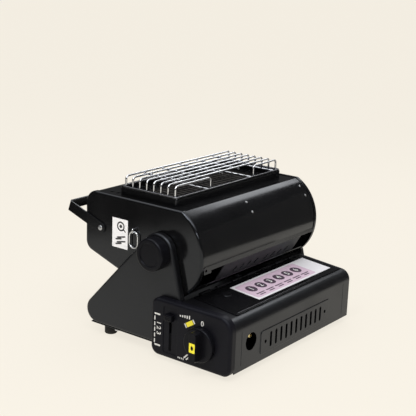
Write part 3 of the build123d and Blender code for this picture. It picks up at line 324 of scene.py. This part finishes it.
line_half_height = 1.2
line_half_lengths = (10.0, 7.0)
lines = [
    (x, line_along - line_pitch * row, half_length, line_half_height, 0, 6)
    for x in step_places for row, half_length in enumerate(line_half_lengths)
]
dots_and_lines = raised_plates(dots + lines, thick_print)
add_piece(
    "lid_label_dots", on_plane(dots_and_lines, label_middle, label_across, label_along),
    plum_ink, "lid",
)
white_ink = mottled_coat("white_pad_ink", linear("#E9E9E7"), linear("#CFCFCD"))
step_figures = [(index + 1, x, dot_along) for index, x in enumerate(step_places)]
step_figure_height = 10
step_zero = label_middle + Vector((0, 0, (print_height + 0.02) * mm))
add_figures(
    "lid_label_numbers", step_figures, step_figure_height, 0, step_zero, Vector(label_across),
    Vector(label_along), white_ink, "lid",
)


# Control panel, lever guide and igniter body: moulded black ABS, clipped on the end of the base.
# The mould is spark-eroded, so the face is satin with a fine grain; the black leans to blue.
def moulded_plastic(name, dark, light, smooth, dull, grain_size):
    """Moulded or turned plastic: a fine grain, a weak gloss that leans to blue, and a roughness that drifts
    with 25 mm flow marks. The real grain is about 0.1 mm and is drawn coarser, so that it shows."""
    plastic = new_material(name)
    spot = add_node(plastic, "ShaderNodeTexCoord", {}).outputs["Object"]
    flow = add_node(plastic, "ShaderNodeTexNoise", {"Vector": spot, "Scale": 1 / (25 * mm), "Detail": 2.0})
    colour = add_node(plastic, "ShaderNodeMix", {"data_type": "RGBA", "Factor": flow, 6: dark, 7: light})
    shine = add_node(plastic, "ShaderNodeMapRange", {"Value": flow, "To Min": smooth, "To Max": dull})
    spark = add_node(plastic, "ShaderNodeTexNoise", {
        "Vector": spot, "Scale": 1 / grain_size, "Detail": 2.0,
    })
    corner = add_node(plastic, "ShaderNodeBevel", {"samples": 4, "Radius": 0.6 * mm})
    relief = add_node(plastic, "ShaderNodeBump", {
        "Height": spark, "Strength": 0.25, "Distance": 0.05 * mm, "Normal": corner,
    })
    surface = add_node(plastic, "ShaderNodeBsdfPrincipled", {
        "Base Color": colour.outputs[2], "Roughness": shine, "Normal": relief, "IOR": 1.5,
        "Specular IOR Level": 0.13, "Specular Tint": (0.82, 0.87, 1.0, 1.0),
    })
    add_node(plastic, "ShaderNodeOutputMaterial", {"Surface": surface})
    return plastic


abs_panel = moulded_plastic("satin_black_abs", linear("#0F0F13"), linear("#15151B"), 0.36, 0.46, 0.6 * mm)
dress(abs_panel, "control_panel", "lever_guide", "spark_igniter")
panel_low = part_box("control_panel")[0]
guide_low, guide_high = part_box("lever_guide")
panel_across = (0.0, -1.0, 0.0)
panel_along = (0.0, 0.0, 1.0)
# Below the lever's travel, a near-black strip lies on the groove's floor: painted shade, which stands in for
# the dark open slot there.
slot_shade = moulded_plastic("painted_slot_shade", linear("#040405"), linear("#070708"), 0.85, 0.95, 0.9 * mm)
groove_depth = 1.6
groove_height = 12.0
groove_foot = Vector((
    panel_low.x + groove_depth * mm, (guide_low.y + guide_high.y) / 2, panel_low.z + groove_height * mm,
))
strip_thickness = 0.3
strip_half_width = 2.2
strip_half_height = 13.1
strip_middle = 13.3
strip = raised_plates(
    [(0, strip_middle, strip_half_width, strip_half_height, 0, 30)],
    [(0, strip_thickness), (1, strip_thickness), (1, 0), (0, 0)],
)
add_piece(
    "lever_slot_shade_strip", on_plane(strip, groove_foot, panel_across, panel_along), slot_shade, "base",
)


# Panel print: white ticks and numbers and a yellow tab, which show where the gas knob and the lever stand.
# They are pad-printed in thick opaque ink. Places are in millimetres from the knob's axis, to the right and
# up, and each mark is its place, half width, half height, turn and the power of its rim.
knob_low, knob_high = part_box("gas_knob")
panel_zero = Vector((panel_low.x, (knob_low.y + knob_high.y) / 2, (knob_low.z + knob_high.z) / 2))
yellow_ink = mottled_coat("yellow_pad_ink", linear("#FDEE34"), linear("#F0DE2E"))
tab_across, tab_along = -20.3, 24.7
tab_half_length, tab_half_width = 6.4, 3.3
tab_turn = 33.0
tab = raised_plates([(tab_across, tab_along, tab_half_length, tab_half_width, tab_turn, 12)], thick_print)
add_piece(
    "panel_yellow_tab", on_plane(tab, panel_zero, panel_across, panel_along), yellow_ink, "base",
)
end_reach = 8.4
end_across = end_reach * np.cos(np.radians(tab_turn))
end_along = end_reach * np.sin(np.radians(tab_turn))
tab_ends = [
    (tab_across + side * end_across, tab_along + side * end_along, 0.9, tab_half_width, tab_turn, 8)
    for side in (-1, 1)
]
rising_bars = [
    (-37 + 4 * index, 32.2 + 0.35 * index, 1.0, 1.2 + 0.35 * index, 0, 8) for index in range(5)
]
low_strokes = [
    (-25.4 + 3.4 * index, -25.0 - 2.4 * index, 5.0 - index, 1.0, 44, 8) for index in range(2)
]
low_ticks = [(-39 + 3 * index, -30.7, 0.8, 1.2, 0, 8) for index in range(4)]
column_ticks = [(-83, 17.5 - 8.6 * index, 0.9, 3.0, 0, 8) for index in range(5)]
column_ends = [(-78.5, 24.4, 5.2, 1.2, 0, 10), (-77.5, -22.4, 5.2, 1.2, 0, 10)]
white_marks = tab_ends + rising_bars + low_strokes + low_ticks + column_ticks + column_ends
add_piece(
    "panel_white_marks",
    on_plane(raised_plates(white_marks, thick_print), panel_zero, panel_across, panel_along),
    white_ink, "base",
)
figure_height = 7.5
add_figures(
    "panel_knob_numbers", [(0, 1.5, 30)], figure_height, 0, panel_zero, Vector(panel_across),
    Vector(panel_along), white_ink, "base",
)
lever_column = -75.8
lever_figures = [(1, lever_column, 11.5), (2, lever_column, 4.0), (3, lever_column, -4.0)]
add_figures(
    "panel_lever_numbers", lever_figures, figure_height, -90, panel_zero, Vector(panel_across),
    Vector(panel_along), white_ink, "base",
)


# Gas knob, cartridge lever and tilt knobs: the same ABS from a polished mould, glossier than the panel.
# A yellow plate with an elongated hole is pressed into the grip bar of the gas knob.
# The lever's tab has three ribs for the thumb.
abs_knob = moulded_plastic("gloss_black_abs", linear("#0C0C0F"), linear("#111115"), 0.26, 0.36, 0.8 * mm)
dress(abs_knob, "gas_knob", "cartridge_lever", "left_tilt_knob", "right_tilt_knob")
yellow = new_material("moulded_yellow_abs")
place = add_node(yellow, "ShaderNodeTexCoord", {}).outputs["Object"]
flow = add_node(yellow, "ShaderNodeTexNoise", {"Vector": place, "Scale": 1 / (4 * mm), "Detail": 2.0})
tone = add_node(yellow, "ShaderNodeMix", {
    "data_type": "RGBA", "Factor": flow, 6: linear("#FFF42A"), 7: linear("#FAE824"),
})
edge = add_node(yellow, "ShaderNodeBevel", {"samples": 4, "Radius": 0.3 * mm})
shader = add_node(yellow, "ShaderNodeBsdfPrincipled", {
    "Base Color": tone.outputs[2], "Roughness": 0.3, "Normal": edge, "IOR": 1.53,
})
add_node(yellow, "ShaderNodeOutputMaterial", {"Surface": shader})
# The plate's section goes up its rim, over the top to the hole, down the hole and back below: a closed ring.
marker_low, marker_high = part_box("gas_knob_marker")
marker_middle = (marker_low + marker_high) / 2
marker_zero = Vector((marker_high.x, marker_middle.y, marker_middle.z))
marker_half = (marker_high - marker_low) / 2 / mm
marker_top = 2 * marker_half.x
hole_half_width, hole_half_height = 2.3, 3.4
marker_rim = raised_plates([(0, 0, marker_half.y, marker_half.z, 0, 14)], [(1, 0), (1, marker_top)])
marker_hole = raised_plates([(0, 0, hole_half_width, hole_half_height, 0, 2)], [(1, marker_top), (1, 0)])
marker_ring = np.concatenate([marker_rim, marker_hole, marker_rim[:, :1]], 1)
marker = add_piece(
    "gas_knob_marker_plate", on_plane(marker_ring, marker_zero, panel_across, panel_along),
    yellow, "gas_knob",
)
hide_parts("gas_knob_marker")
lever_low, lever_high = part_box("cartridge_lever")
grip_width = 14.0
grip_top = 74.0
rib_zero = Vector((lever_low.x, lever_high.y - grip_width / 2 * mm, grip_top * mm))
rib_start = -2.5
rib_pitch = 2.2
rib_half_length, rib_half_width = 5.2, 0.55
rib_section = [(0, 0.5), (0.7, 0.5), (0.9, 0.35), (1, 0.0), (1, -0.3), (0, -0.3)]
ribs = raised_plates(
    [(0, rib_start - rib_pitch * index, rib_half_length, rib_half_width, 0, 8) for index in range(3)],
    rib_section,
)
add_piece(
    "lever_tab_ribs", on_plane(ribs, rib_zero, panel_across, panel_along), abs_knob, "lever",
)


# Valve, collar, outlet and jet: die-cast zinc with turned brass fittings, screwed to a plated bracket.
# Die castings are pale grey and slightly pitted; turned brass is brighter, with a finer grain.
# A ribbed brass tail on the outlet, which takes the hose, faces the round hole in the shell.
def small_metal(name, colour, other, smooth, dull, grain_size, depth):
    """Bare or plated metal: two tones and a roughness that follow a 3 mm mottle, over a fine grain of the
    given depth."""
    metal = new_material(name)
    spot = add_node(metal, "ShaderNodeTexCoord", {}).outputs["Object"]
    blotch = add_node(metal, "ShaderNodeTexNoise", {"Vector": spot, "Scale": 1 / (3 * mm), "Detail": 3.0})
    tint = add_node(metal, "ShaderNodeMix", {"data_type": "RGBA", "Factor": blotch, 6: colour, 7: other})
    shine = add_node(metal, "ShaderNodeMapRange", {"Value": blotch, "To Min": smooth, "To Max": dull})
    fine = add_node(metal, "ShaderNodeTexNoise", {"Vector": spot, "Scale": 1 / grain_size, "Detail": 2.0})
    relief = add_node(metal, "ShaderNodeBump", {"Height": fine, "Strength": 0.4, "Distance": depth})
    surface = add_node(metal, "ShaderNodeBsdfPrincipled", {
        "Base Color": tint.outputs[2], "Metallic": 1.0, "Roughness": shine, "Normal": relief,
    })
    add_node(metal, "ShaderNodeOutputMaterial", {"Surface": surface})
    return metal


cast_zinc = small_metal(
    "die_cast_zinc", linear("#9EA0A3"), linear("#8A8C90"), 0.4, 0.6, 0.7 * mm, 0.06 * mm
)
brass = small_metal("turned_brass", linear("#F0E2AA"), linear("#DECB8C"), 0.28, 0.42, 0.4 * mm, 0.02 * mm)
dress(cast_zinc, "valve_body", "cartridge_collar")
dress(brass, "gas_outlet_spigot", "gas_injector")
# The tail is a surface of revolution: radius against reach along the outlet's axis. A collar, a groove and
# two barbs, each tapering forward, end in a rounded nose, a quarter of an ellipse, with a blind bore.
spigot_low, spigot_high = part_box("gas_outlet_spigot")
spigot_middle = (spigot_low + spigot_high) / 2
collar, groove, barb, tip, mouth, bore = 5.8, 4.6, 5.0, 2.6, 2.0, 1.8
nose_start, nose_length = 7.0, 2.6
bore_floor = 4.0
nose = np.radians(np.linspace(0, 90, 9))
tail_reach = np.concatenate([
    [0, 0, 2, 2, 3, 3, 5, 5], nose_start + nose_length * np.sin(nose),
    [nose_start + nose_length, bore_floor, bore_floor],
])
tail_radius = np.concatenate([
    [0, collar, collar, groove, groove, collar, barb, collar], tip + (barb - tip) * np.cos(nose),
    [mouth, bore, 0],
])
tail_angle = np.linspace(0, 2 * np.pi, 64, endpoint=False)
tail = np.stack(np.broadcast_arrays(
    spigot_middle.x + tail_radius[:, None] * np.cos(tail_angle) * mm,
    spigot_low.y - tail_reach[:, None] * mm,
    spigot_middle.z + tail_radius[:, None] * np.sin(tail_angle) * mm,
), -1)[None]
add_piece("gas_outlet_hose_tail", tail, brass, "base")


# Tilting head: pressed end caps, a rolled drum cover, flat covers, the burner's frame, box and shelf, and a
# strap handle. They have a heat-resistant black enamel, baked harder and glossier than the base.
# The slotted vent plate, set back under the drum, has a thin matt coat, drawn a lighter grey-black than the
# head:
# painted light, which lifts the plate out of the shade under the drum.
stove_enamel = sprayed_enamel(
    "heat_resistant_black_enamel", linear("#0B0B0C"), linear("#121213"), 0.12, 0.2
)
dress(
    stove_enamel, "left_end_cap", "right_end_cap", "drum_cover", "top_plate", "back_cover", "burner_frame",
    "burner_box", "tile_shelf", "carry_handle",
)
shade_lifted_enamel = sprayed_enamel("shade_lifted_grey_black_enamel", linear("#1E1E20"), linear("#262628"), 0.5, 0.6)
dress(shade_lifted_enamel, "vent_plate")


# Burner: two perforated ceramic tiles in the box, sealed by a fibre gasket, under a slotted steel screen.
# Fired cordierite is chalky; here the tiles are drawn a dark brown, near the scorched screen's black, and
# their
# holes near black: painted shade inside them.
# The real holes are about 1.3 mm wide at 2 mm pitch, and are drawn at 3.2 mm pitch to show.
tile = new_material("perforated_cordierite")
place = add_node(tile, "ShaderNodeTexCoord", {}).outputs["Object"]
cells = add_node(tile, "ShaderNodeVectorMath", {
    "operation": "SCALE", "Vector": place, "Scale": 1 / (3.2 * mm),
})
inside = add_node(tile, "ShaderNodeVectorMath", {"operation": "FRACTION", 0: cells})
centred = add_node(tile, "ShaderNodeVectorMath", {"operation": "SUBTRACT", 0: inside, 1: (0.5, 0.5, 0.5)})
flat = add_node(tile, "ShaderNodeVectorMath", {"operation": "MULTIPLY", 0: centred, 1: (1.0, 1.0, 0.0)})
radius = add_node(tile, "ShaderNodeVectorMath", {"operation": "LENGTH", 0: flat}).outputs["Value"]
hole = add_node(tile, "ShaderNodeMapRange", {
    "Value": radius, "From Min": 0.26, "From Max": 0.32, "To Min": 0.0, "To Max": 1.0,
})
# The near black in the holes is painted shade; the face between them is a dark brown.
tone = add_node(tile, "ShaderNodeMix", {
    "data_type": "RGBA", "Factor": hole, 6: linear("#080706"), 7: linear("#2A2520"),
})
bump = add_node(tile, "ShaderNodeBump", {"Height": hole, "Strength": 0.8, "Distance": 0.5 * mm})
shader = add_node(tile, "ShaderNodeBsdfPrincipled", {
    "Base Color": tone.outputs[2], "Roughness": 0.85, "Normal": bump, "IOR": 1.5,
})
add_node(tile, "ShaderNodeOutputMaterial", {"Surface": shader})
dress(tile, "ceramic_tiles")
scorched = sprayed_enamel("scorched_black_oxide", linear("#0D0B09"), linear("#080707"), 0.55, 0.7, 0.12)
dress(scorched, "burner_screen")
fibre = mottled_coat("pressed_fibre", linear("#CFC8BA"), linear("#B9B09F"))
glaze = mottled_coat("white_glazed_ceramic", linear("#EFEDE6"), linear("#E4E1D8"))
dress(fibre, "tile_gasket")
dress(glaze, "electrode_insulator")


# Wire guard, hanging ring and its eye: bent steel wire, welded where it crosses, with chrome plating.
# Chrome is a cold near mirror. The rail lies on the hot frame, which has dulled it to grey.
chrome = small_metal("chromed_wire", linear("#EDF0F6"), linear("#D6D7DA"), 0.08, 0.2, 0.6 * mm, 0.01 * mm)
dress(chrome, "guard_hoops", "guard_cross_wires", "hanging_ring", "ring_eye")
dulled_chrome = small_metal(
    "heat_dulled_chrome", linear("#7C7D80"), linear("#606164"), 0.16, 0.3, 0.6 * mm, 0.01 * mm
)
dress(dulled_chrome, "guard_rail")


# Pivot spacers: turned black nylon, which rubs between the bracket and the cap and holds the tilt.
# Nylon off the lathe is waxy and nearly matt.
nylon = moulded_plastic("turned_black_nylon", linear("#161616"), linear("#1C1C1C"), 0.45, 0.6, 0.5 * mm)
dress(nylon, "left_pivot_spacer", "right_pivot_spacer")


# Handle screws: zinc-plated pan heads with a cross recess, one at each end of the bail.
# The head is a low dome, whose height falls with the fourth power of the radius, on a plain shank.
# The recess lies along both axes: flat near an axis, sloping to its edge, and shallower along each arm.
head_height = 2.0 * mm
head_fall = 0.55
shank_radius = 2.0 * mm
recess_depth = 1.1 * mm
recess_flat = 0.16 * mm
recess_edge = 0.56 * mm
recess_reach = 0.55
arm_rise = 0.6
screw_angle = np.linspace(0, 2 * np.pi, 96, endpoint=False)
screw_share = np.linspace(0, 1, 26)[:, None]
for side, node in ((-1, "left_handle_screw"), (1, "right_handle_screw")):
    low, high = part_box(node)
    tip_x, root_x = (low.x, high.x) if side < 0 else (high.x, low.x)
    head_radius = (high.z - low.z) / 2
    x = head_radius * screw_share * np.cos(screw_angle)
    y = head_radius * screw_share * np.sin(screw_angle)
    long_way = np.maximum(np.abs(x), np.abs(y))
    short_way = np.minimum(np.abs(x), np.abs(y))
    arm = np.minimum(long_way / (recess_reach * head_radius), 1)
    slope = np.clip((recess_edge - short_way) / (recess_edge - recess_flat), 0, 1)
    recess = slope * (arm < 1) * (1 - arm_rise * arm)
    height = head_height * (1 - head_fall * screw_share ** 4) - recess_depth * recess
    shank_foot = head_height - abs(root_x - tip_x)
    under_height = np.array([0.0, 0.0, shank_foot, shank_foot])[:, None]
    under_radius = np.array([head_radius, shank_radius, shank_radius, 0.0])[:, None]
    x = np.vstack([x, under_radius * np.cos(screw_angle)])
    y = np.vstack([y, under_radius * np.sin(screw_angle)])
    height = np.vstack([height, under_height * np.ones_like(screw_angle)])
    middle = (low + high) / 2
    seat = tip_x - side * head_height
    grid = np.stack([seat + side * height, middle.y + x, middle.z + y], -1)[None]
    screw = add_piece(node + "_head", grid, zinc, "head")
    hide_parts(node)


# Cap label: a small sticker beside the ring, of white vinyl drawn brighter than the lid label's: painted
# light, which makes up for the weaker light on the cap's upright face.
# A plain round mark and four bars are screen-printed on it in black.
dress(glossy_vinyl("white_vinyl_lit_brighter", linear("#FDFDFF"), linear("#F6F6FA")), "cap_label")
cap_low, cap_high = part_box("cap_label")
cap_zero = Vector((cap_low.x, (cap_low.y + cap_high.y) / 2, (cap_low.z + cap_high.z) / 2))
black_ink = mottled_coat("black_screen_ink", linear("#232326"), linear("#3A3A3E"))
round_across, round_along, round_radius = 1.5, 11.0, 6.2
ring_mark = [
    (round_across + round_radius * np.cos(angle), round_along + round_radius * np.sin(angle), 1.7, 1.1,
     np.degrees(angle) + 90, 6)
    for angle in np.radians(np.arange(0, 360, 24))
]
dot_mark = [(round_across, round_along, 2.6, 2.6, 0, 2), (8.5, 5.5, 3.2, 0.9, -40, 6)]
bar_marks = [
    (2.5 * (-1) ** row, -5 - 3.6 * row, 8.5 - 2.4 * (row % 2), 1.15, 12, 6) for row in range(4)
]
cap_marks = raised_plates(ring_mark + dot_mark + bar_marks, thick_print)
add_piece(
    "cap_label_marks", on_plane(cap_marks, cap_zero, panel_across, panel_along),
    black_ink, "head",
)


# Floor: a wide pale sweep of seamless paper, which reaches 16 m each way.
# It shows its own colour to the camera and in reflections, and keeps a soft shadow under the stove.
paper = new_material("seamless_paper")
paper_colour = linear("#F5EFE3")
paper_glow = 0.88
paper.cycles.emission_sampling = "NONE"
rays = add_node(paper, "ShaderNodeLightPath", {})
seen = add_node(paper, "ShaderNodeMath", {
    "operation": "ADD", 0: rays.outputs["Is Camera Ray"], 1: rays.outputs["Is Glossy Ray"],
})
seen = add_node(paper, "ShaderNodeMath", {
    "operation": "ADD", "use_clamp": True, 0: seen, 1: rays.outputs["Is Transmission Ray"],
})
lit = add_node(paper, "ShaderNodeBsdfDiffuse", {"Color": paper_colour})
glow = add_node(paper, "ShaderNodeEmission", {"Color": paper_colour, "Strength": 1.0})
share = add_node(paper, "ShaderNodeMath", {"operation": "MULTIPLY", 0: seen, 1: paper_glow})
mixed = add_node(paper, "ShaderNodeMixShader", {0: share, 1: lit, 2: glow})
add_node(paper, "ShaderNodeOutputMaterial", {"Surface": mixed})
floor_angle = np.linspace(0, 2 * np.pi, 64, endpoint=False)
floor_reach = np.array([0.0, 1.0, 4.0, 16.0])[:, None]
floor_points = np.stack(np.broadcast_arrays(
    floor_reach * np.cos(floor_angle), floor_reach * np.sin(floor_angle), 0.0
), -1)[None]
floor = grid_object("floor", floor_points, paper)


# Studio: a dim room under a bright ceiling, with four soft boxes. The right one draws the long highlight on
# the drum, and the front one lights the body. The left one and the one beside the camera are small and
# bright, and draw the edges.
scene = bpy.context.scene
scene.view_settings.view_transform = "Standard"
world = bpy.data.worlds.new("studio")
world.use_nodes = True
world.node_tree.nodes.clear()
scene.world = world
toward = add_node(world, "ShaderNodeTexCoord", {}).outputs["Generated"]
rise = add_node(world, "ShaderNodeSeparateXYZ", {"Vector": toward}).outputs["Z"]
room = add_node(world, "ShaderNodeMapRange", {
    "interpolation_type": "SMOOTHSTEP", "Value": rise, "From Min": 0.6, "From Max": 0.78, "To Min": 0.06,
    "To Max": 1.6,
})
sky = add_node(world, "ShaderNodeBackground", {"Color": room, "Strength": 1.0})
add_node(world, "ShaderNodeOutputWorld", {"Surface": sky})


def soft_box(name, position, target, width, height, brightness):
    """A rectangular lamp of that brightness, the radiance of its face, turned to its target."""
    lamp = bpy.data.lights.new(name, "AREA")
    lamp.shape = "RECTANGLE"
    lamp.size = width
    lamp.size_y = height
    lamp.energy = brightness * np.pi * width * height
    box = bpy.data.objects.new(name, lamp)
    box.location = position
    box.rotation_euler = (Vector(target) - Vector(position)).to_track_quat("-Z", "Y").to_euler()
    scene.collection.objects.link(box)


soft_box("right_soft_box", (1.05, 0.3, 1.04), (0, 0, 0.2), 0.9, 0.3, 3.6)
soft_box("front_soft_box", (-0.6, -0.62, 1.45), (0, 0, 0.1), 0.7, 0.7, 3.6)
soft_box("left_soft_box", (-1.0, -0.2, 1.3), (-0.15, 0, 0.2), 0.18, 0.6, 15.0)
soft_box("camera_soft_box", (-1.1, -0.9, 0.75), (0, 0, 0.1), 0.2, 0.2, 16.0)


# Flags: two low screens of grey cloth beside the stove, which keep its sides from mirroring the whole floor.
# They show only in reflections: the camera doesn't see them, and they cast no shadow.
flag_half_length, flag_half_height, flag_thickness = 700, 240, 5
screen = raised_plates(
    [(0, flag_half_height, flag_half_length, flag_half_height, 0, 40)],
    [(0, flag_thickness), (1, flag_thickness), (1, 0), (0, 0)],
)
view_right = Vector((0.607, -0.794, 0))
view_ahead = (0.794, 0.607, 0)
for name, reach, colour in (("left_flag", -0.68, "#3A3A3A"), ("right_flag", 0.62, "#6A6A6A")):
    cloth = new_material(name + "_cloth")
    weave = add_node(cloth, "ShaderNodeBsdfDiffuse", {"Color": linear(colour)})
    add_node(cloth, "ShaderNodeOutputMaterial", {"Surface": weave})
    flag = grid_object(name, on_plane(screen, view_right * reach, view_ahead, (0, 0, 1)), cloth)
    flag.visible_camera = False
    flag.visible_diffuse = False
    flag.visible_shadow = False


# Camera: a long lens, fitted to the edges of the control panel, base and head in a frame of 416 pixels.
# Its place and its three directions are in the stove's own frame, in metres.
image_width = 416
focal_pixels = 1028.887
camera_data = bpy.data.cameras.new("camera")
camera_data.sensor_width = 36.0
camera_data.lens = focal_pixels / image_width * camera_data.sensor_width
camera_data.clip_end = 60.0
camera = bpy.data.objects.new("camera", camera_data)
right = Vector((0.606832, -0.794020, 0.035865))
down = Vector((-0.186219, -0.185895, -0.964762))
ahead = Vector((0.772708, 0.578770, -0.260669))
turn = Matrix((right, -down, -ahead)).transposed().to_4x4()
camera.matrix_world = Matrix.Translation((-1.222286, -0.907654, 0.595036)) @ turn
scene.collection.objects.link(camera)
scene.camera = camera
